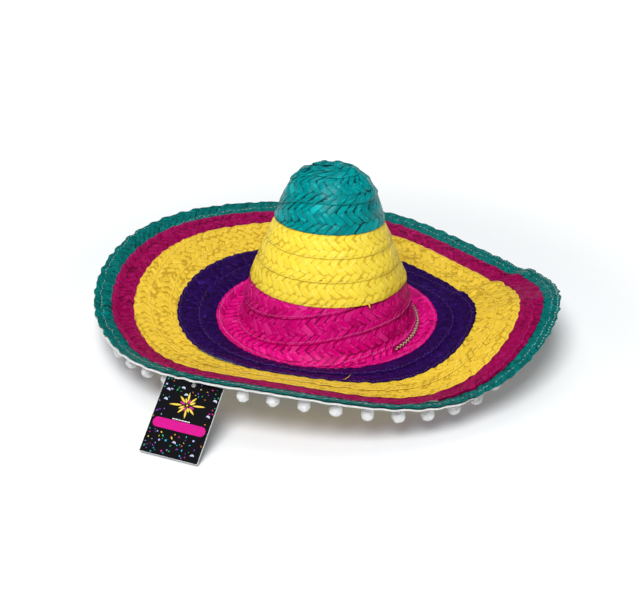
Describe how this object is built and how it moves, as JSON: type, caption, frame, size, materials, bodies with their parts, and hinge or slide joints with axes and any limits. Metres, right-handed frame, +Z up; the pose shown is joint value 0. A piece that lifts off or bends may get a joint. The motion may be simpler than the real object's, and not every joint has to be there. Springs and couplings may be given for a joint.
{
  "type": "sombrero",
  "caption": "Wide-brimmed sombrero of striped, sewn palm-straw plaits with a conical crown, a wavy brim, pom-poms under the rim and a swing tag.",
  "frame": {"origin": "centre of the head opening, level with the lowest point of the underside where the crown meets the brim", "axes": "+Z up through the crown, +Y towards the back of the hat, +X to the wearer's left"},
  "size_m": [0.4873, 0.5079, 0.1822],
  "materials": {
    "teal_straw": "dyed woven straw, satin",
    "yellow_straw": "dyed woven straw, satin",
    "magenta_straw": "dyed woven straw, satin",
    "purple_straw": "dyed woven straw, satin",
    "white_tape": "looped braid",
    "white_yarn": "cut yarn, matt",
    "black_card": "printed card with a satin film",
    "nylon": "clear nylon"
  },
  "bodies": {
    "hat": {"crown_plait_teal": "teal_straw", "crown_plait_yellow": "yellow_straw", "crown_plait_magenta": "magenta_straw", "brim_plait_purple": "purple_straw", "brim_plait_yellow": "yellow_straw", "brim_plait_magenta": "magenta_straw", "rim_plait_teal": "teal_straw", "pom_pom_tape": "white_tape", "tag_pin": "nylon"},
    "pom_pom_01": {"pom_pom_01": "white_yarn"},
    "pom_pom_02": {"pom_pom_02": "white_yarn"},
    "pom_pom_03": {"pom_pom_03": "white_yarn"},
    "pom_pom_04": {"pom_pom_04": "white_yarn"},
    "pom_pom_05": {"pom_pom_05": "white_yarn"},
    "pom_pom_06": {"pom_pom_06": "white_yarn"},
    "pom_pom_07": {"pom_pom_07": "white_yarn"},
    "pom_pom_08": {"pom_pom_08": "white_yarn"},
    "pom_pom_09": {"pom_pom_09": "white_yarn"},
    "pom_pom_10": {"pom_pom_10": "white_yarn"},
    "pom_pom_11": {"pom_pom_11": "white_yarn"},
    "pom_pom_12": {"pom_pom_12": "white_yarn"},
    "pom_pom_13": {"pom_pom_13": "white_yarn"},
    "pom_pom_14": {"pom_pom_14": "white_yarn"},
    "pom_pom_15": {"pom_pom_15": "white_yarn"},
    "pom_pom_16": {"pom_pom_16": "white_yarn"},
    "pom_pom_17": {"pom_pom_17": "white_yarn"},
    "pom_pom_18": {"pom_pom_18": "white_yarn"},
    "pom_pom_19": {"pom_pom_19": "white_yarn"},
    "pom_pom_20": {"pom_pom_20": "white_yarn"},
    "pom_pom_21": {"pom_pom_21": "white_yarn"},
    "pom_pom_22": {"pom_pom_22": "white_yarn"},
    "pom_pom_23": {"pom_pom_23": "white_yarn"},
    "pom_pom_24": {"pom_pom_24": "white_yarn"},
    "pom_pom_25": {"pom_pom_25": "white_yarn"},
    "pom_pom_26": {"pom_pom_26": "white_yarn"},
    "pom_pom_27": {"pom_pom_27": "white_yarn"},
    "pom_pom_28": {"pom_pom_28": "white_yarn"},
    "pom_pom_29": {"pom_pom_29": "white_yarn"},
    "pom_pom_30": {"pom_pom_30": "white_yarn"},
    "pom_pom_31": {"pom_pom_31": "white_yarn"},
    "pom_pom_32": {"pom_pom_32": "white_yarn"},
    "pom_pom_33": {"pom_pom_33": "white_yarn"},
    "pom_pom_34": {"pom_pom_34": "white_yarn"},
    "pom_pom_35": {"pom_pom_35": "white_yarn"},
    "pom_pom_36": {"pom_pom_36": "white_yarn"},
    "pom_pom_37": {"pom_pom_37": "white_yarn"},
    "pom_pom_38": {"pom_pom_38": "white_yarn"},
    "pom_pom_39": {"pom_pom_39": "white_yarn"},
    "pom_pom_40": {"pom_pom_40": "white_yarn"},
    "pom_pom_41": {"pom_pom_41": "white_yarn"},
    "pom_pom_42": {"pom_pom_42": "white_yarn"},
    "pom_pom_43": {"pom_pom_43": "white_yarn"},
    "pom_pom_44": {"pom_pom_44": "white_yarn"},
    "pom_pom_45": {"pom_pom_45": "white_yarn"},
    "pom_pom_46": {"pom_pom_46": "white_yarn"},
    "pom_pom_47": {"pom_pom_47": "white_yarn"},
    "pom_pom_48": {"pom_pom_48": "white_yarn"},
    "pom_pom_49": {"pom_pom_49": "white_yarn"},
    "pom_pom_50": {"pom_pom_50": "white_yarn"},
    "swing_tag": {"swing_tag": "black_card"}
  },
  "joints": [
    {"name": "pom_swing_01", "type": "hinge", "parent": "hat", "child": "pom_pom_01", "pos_m": [0.2199, 0.02226, 0.0303], "axis": [-0.1028, 0.9947, 0], "range_deg": [-16, 5]},
    {"name": "pom_swing_02", "type": "hinge", "parent": "hat", "child": "pom_pom_02", "pos_m": [0.21421, 0.04934, 0.02292], "axis": [-0.2267, 0.974, 0], "range_deg": [-16, 5]},
    {"name": "pom_swing_03", "type": "hinge", "parent": "hat", "child": "pom_pom_03", "pos_m": [0.20542, 0.07554, 0.01592], "axis": [-0.3469, 0.9379, 0], "range_deg": [-16, 5]},
    {"name": "pom_swing_04", "type": "hinge", "parent": "hat", "child": "pom_pom_04", "pos_m": [0.19375, 0.10058, 0.01038], "axis": [-0.4617, 0.887, 0], "range_deg": [-16, 5]},
    {"name": "pom_swing_05", "type": "hinge", "parent": "hat", "child": "pom_pom_05", "pos_m": [0.1795, 0.12422, 0.00801], "axis": [-0.5693, 0.8221, 0], "range_deg": [-16, 5]},
    {"name": "pom_swing_06", "type": "hinge", "parent": "hat", "child": "pom_pom_06", "pos_m": [0.16435, 0.14778, 0.00894], "axis": [-0.6678, 0.7443, 0], "range_deg": [-16, 5]},
    {"name": "pom_swing_07", "type": "hinge", "parent": "hat", "child": "pom_pom_07", "pos_m": [0.14634, 0.16935, 0.01162], "axis": [-0.7559, 0.6547, 0], "range_deg": [-16, 5]},
    {"name": "pom_swing_08", "type": "hinge", "parent": "hat", "child": "pom_pom_08", "pos_m": [0.12508, 0.18795, 0.01512], "axis": [-0.832, 0.5548, 0], "range_deg": [-16, 5]},
    {"name": "pom_swing_09", "type": "hinge", "parent": "hat", "child": "pom_pom_09", "pos_m": [0.10107, 0.20317, 0.01874], "axis": [-0.8949, 0.4462, 0], "range_deg": [-16, 5]},
    {"name": "pom_swing_10", "type": "hinge", "parent": "hat", "child": "pom_pom_10", "pos_m": [0.07516, 0.2152, 0.02189], "axis": [-0.9438, 0.3305, 0], "range_deg": [-16, 5]},
    {"name": "pom_swing_11", "type": "hinge", "parent": "hat", "child": "pom_pom_11", "pos_m": [0.04787, 0.2241, 0.02419], "axis": [-0.9778, 0.2096, 0], "range_deg": [-16, 5]},
    {"name": "pom_swing_12", "type": "hinge", "parent": "hat", "child": "pom_pom_12", "pos_m": [0.01957, 0.22991, 0.02584], "axis": [-0.9963, 0.0854, 0], "range_deg": [-16, 5]},
    {"name": "pom_swing_13", "type": "hinge", "parent": "hat", "child": "pom_pom_13", "pos_m": [-0.00943, 0.23244, 0.02707], "axis": [-0.9992, -0.0401, 0], "range_deg": [-16, 5]},
    {"name": "pom_swing_14", "type": "hinge", "parent": "hat", "child": "pom_pom_14", "pos_m": [-0.0388, 0.23151, 0.02823], "axis": [-0.9863, -0.165, 0], "range_deg": [-16, 5]},
    {"name": "pom_swing_15", "type": "hinge", "parent": "hat", "child": "pom_pom_15", "pos_m": [-0.06796, 0.22606, 0.02983], "axis": [-0.9578, -0.2874, 0], "range_deg": [-16, 5]},
    {"name": "pom_swing_16", "type": "hinge", "parent": "hat", "child": "pom_pom_16", "pos_m": [-0.09618, 0.2166, 0.03196], "axis": [-0.9143, -0.4051, 0], "range_deg": [-16, 5]},
    {"name": "pom_swing_17", "type": "hinge", "parent": "hat", "child": "pom_pom_17", "pos_m": [-0.12301, 0.20359, 0.03441], "axis": [-0.8563, -0.5165, 0], "range_deg": [-16, 5]},
    {"name": "pom_swing_18", "type": "hinge", "parent": "hat", "child": "pom_pom_18", "pos_m": [-0.148, 0.1872, 0.03689], "axis": [-0.7848, -0.6198, 0], "range_deg": [-16, 5]},
    {"name": "pom_swing_19", "type": "hinge", "parent": "hat", "child": "pom_pom_19", "pos_m": [-0.17075, 0.16766, 0.03909], "axis": [-0.7009, -0.7133, 0], "range_deg": [-16, 5]},
    {"name": "pom_swing_20", "type": "hinge", "parent": "hat", "child": "pom_pom_20", "pos_m": [-0.1901, 0.14474, 0.04036], "axis": [-0.606, -0.7955, 0], "range_deg": [-16, 5]},
    {"name": "pom_swing_21", "type": "hinge", "parent": "hat", "child": "pom_pom_21", "pos_m": [-0.20603, 0.11946, 0.04048], "axis": [-0.5015, -0.8652, 0], "range_deg": [-16, 5]},
    {"name": "pom_swing_22", "type": "hinge", "parent": "hat", "child": "pom_pom_22", "pos_m": [-0.21864, 0.09248, 0.03958], "axis": [-0.3891, -0.9212, 0], "range_deg": [-16, 5]},
    {"name": "pom_swing_23", "type": "hinge", "parent": "hat", "child": "pom_pom_23", "pos_m": [-0.22781, 0.0642, 0.03779], "axis": [-0.2706, -0.9627, 0], "range_deg": [-16, 5]},
    {"name": "pom_swing_24", "type": "hinge", "parent": "hat", "child": "pom_pom_24", "pos_m": [-0.23346, 0.03505, 0.03532], "axis": [-0.1478, -0.989, 0], "range_deg": [-16, 5]},
    {"name": "pom_swing_25", "type": "hinge", "parent": "hat", "child": "pom_pom_25", "pos_m": [-0.23472, 0.00547, 0.03256], "axis": [-0.0227, -0.9997, 0], "range_deg": [-16, 5]},
    {"name": "pom_swing_26", "type": "hinge", "parent": "hat", "child": "pom_pom_26", "pos_m": [-0.2322, -0.02385, 0.03012], "axis": [0.1028, -0.9947, 0], "range_deg": [-16, 5]},
    {"name": "pom_swing_27", "type": "hinge", "parent": "hat", "child": "pom_pom_27", "pos_m": [-0.22629, -0.05255, 0.02834], "axis": [0.2267, -0.974, 0], "range_deg": [-16, 5]},
    {"name": "pom_swing_28", "type": "hinge", "parent": "hat", "child": "pom_pom_28", "pos_m": [-0.21714, -0.08028, 0.02749], "axis": [0.3469, -0.9379, 0], "range_deg": [-16, 5]},
    {"name": "pom_swing_29", "type": "hinge", "parent": "hat", "child": "pom_pom_29", "pos_m": [-0.20487, -0.10672, 0.02779], "axis": [0.4617, -0.887, 0], "range_deg": [-16, 5]},
    {"name": "pom_swing_30", "type": "hinge", "parent": "hat", "child": "pom_pom_30", "pos_m": [-0.18901, -0.13107, 0.02967], "axis": [0.5693, -0.8221, 0], "range_deg": [-16, 5]},
    {"name": "pom_swing_31", "type": "hinge", "parent": "hat", "child": "pom_pom_31", "pos_m": [-0.17035, -0.15312, 0.03277], "axis": [0.6678, -0.7443, 0], "range_deg": [-16, 5]},
    {"name": "pom_swing_32", "type": "hinge", "parent": "hat", "child": "pom_pom_32", "pos_m": [-0.14941, -0.17281, 0.03657], "axis": [0.7559, -0.6547, 0], "range_deg": [-1.5, 5]},
    {"name": "pom_swing_33", "type": "hinge", "parent": "hat", "child": "pom_pom_33", "pos_m": [-0.12643, -0.18996, 0.04057], "axis": [0.832, -0.5548, 0], "range_deg": [-1.5, 5]},
    {"name": "pom_swing_34", "type": "hinge", "parent": "hat", "child": "pom_pom_34", "pos_m": [-0.10171, -0.20438, 0.04418], "axis": [0.8949, -0.4462, 0], "range_deg": [-1.5, 5]},
    {"name": "pom_swing_35", "type": "hinge", "parent": "hat", "child": "pom_pom_35", "pos_m": [-0.07528, -0.21521, 0.04623], "axis": [0.9438, -0.3305, 0], "range_deg": [-1.5, 5]},
    {"name": "pom_swing_36", "type": "hinge", "parent": "hat", "child": "pom_pom_36", "pos_m": [-0.0478, -0.22272, 0.04612], "axis": [0.9778, -0.2096, 0], "range_deg": [-16, 5]},
    {"name": "pom_swing_37", "type": "hinge", "parent": "hat", "child": "pom_pom_37", "pos_m": [-0.01965, -0.22713, 0.04395], "axis": [0.9963, -0.0854, 0], "range_deg": [-16, 5]},
    {"name": "pom_swing_38", "type": "hinge", "parent": "hat", "child": "pom_pom_38", "pos_m": [0.00889, -0.22837, 0.03997], "axis": [0.9992, 0.0401, 0], "range_deg": [-16, 5]},
    {"name": "pom_swing_39", "type": "hinge", "parent": "hat", "child": "pom_pom_39", "pos_m": [0.03754, -0.22642, 0.03467], "axis": [0.9863, 0.165, 0], "range_deg": [-16, 5]},
    {"name": "pom_swing_40", "type": "hinge", "parent": "hat", "child": "pom_pom_40", "pos_m": [0.06584, -0.22042, 0.02918], "axis": [0.9578, 0.2874, 0], "range_deg": [-16, 5]},
    {"name": "pom_swing_41", "type": "hinge", "parent": "hat", "child": "pom_pom_41", "pos_m": [0.09327, -0.21085, 0.02517], "axis": [0.9143, 0.4051, 0], "range_deg": [-16, 5]},
    {"name": "pom_swing_42", "type": "hinge", "parent": "hat", "child": "pom_pom_42", "pos_m": [0.11858, -0.19684, 0.02288], "axis": [0.8563, 0.5165, 0], "range_deg": [-16, 5]},
    {"name": "pom_swing_43", "type": "hinge", "parent": "hat", "child": "pom_pom_43", "pos_m": [0.14108, -0.17866, 0.02265], "axis": [0.7848, 0.6198, 0], "range_deg": [-16, 5]},
    {"name": "pom_swing_44", "type": "hinge", "parent": "hat", "child": "pom_pom_44", "pos_m": [0.16059, -0.15744, 0.02483], "axis": [0.7009, 0.7133, 0], "range_deg": [-16, 5]},
    {"name": "pom_swing_45", "type": "hinge", "parent": "hat", "child": "pom_pom_45", "pos_m": [0.17876, -0.13574, 0.03017], "axis": [0.606, 0.7955, 0], "range_deg": [-16, 5]},
    {"name": "pom_swing_46", "type": "hinge", "parent": "hat", "child": "pom_pom_46", "pos_m": [0.19414, -0.11216, 0.03574], "axis": [0.5015, 0.8652, 0], "range_deg": [-16, 5]},
    {"name": "pom_swing_47", "type": "hinge", "parent": "hat", "child": "pom_pom_47", "pos_m": [0.20646, -0.087, 0.04007], "axis": [0.3891, 0.9212, 0], "range_deg": [-16, 5]},
    {"name": "pom_swing_48", "type": "hinge", "parent": "hat", "child": "pom_pom_48", "pos_m": [0.21547, -0.06056, 0.04219], "axis": [0.2706, 0.9627, 0], "range_deg": [-16, 5]},
    {"name": "pom_swing_49", "type": "hinge", "parent": "hat", "child": "pom_pom_49", "pos_m": [0.22106, -0.03322, 0.04142], "axis": [0.1478, 0.989, 0], "range_deg": [-16, 5]},
    {"name": "pom_swing_50", "type": "hinge", "parent": "hat", "child": "pom_pom_50", "pos_m": [0.22234, -0.00538, 0.03695], "axis": [0.0227, 0.9997, 0], "range_deg": [-16, 5]},
    {"name": "tag_swing", "type": "hinge", "parent": "hat", "child": "swing_tag", "pos_m": [-0.12067, -0.20358, 0.04092], "axis": [0.9272, -0.3746, 0], "range_deg": [-11, 2]}
  ]
}
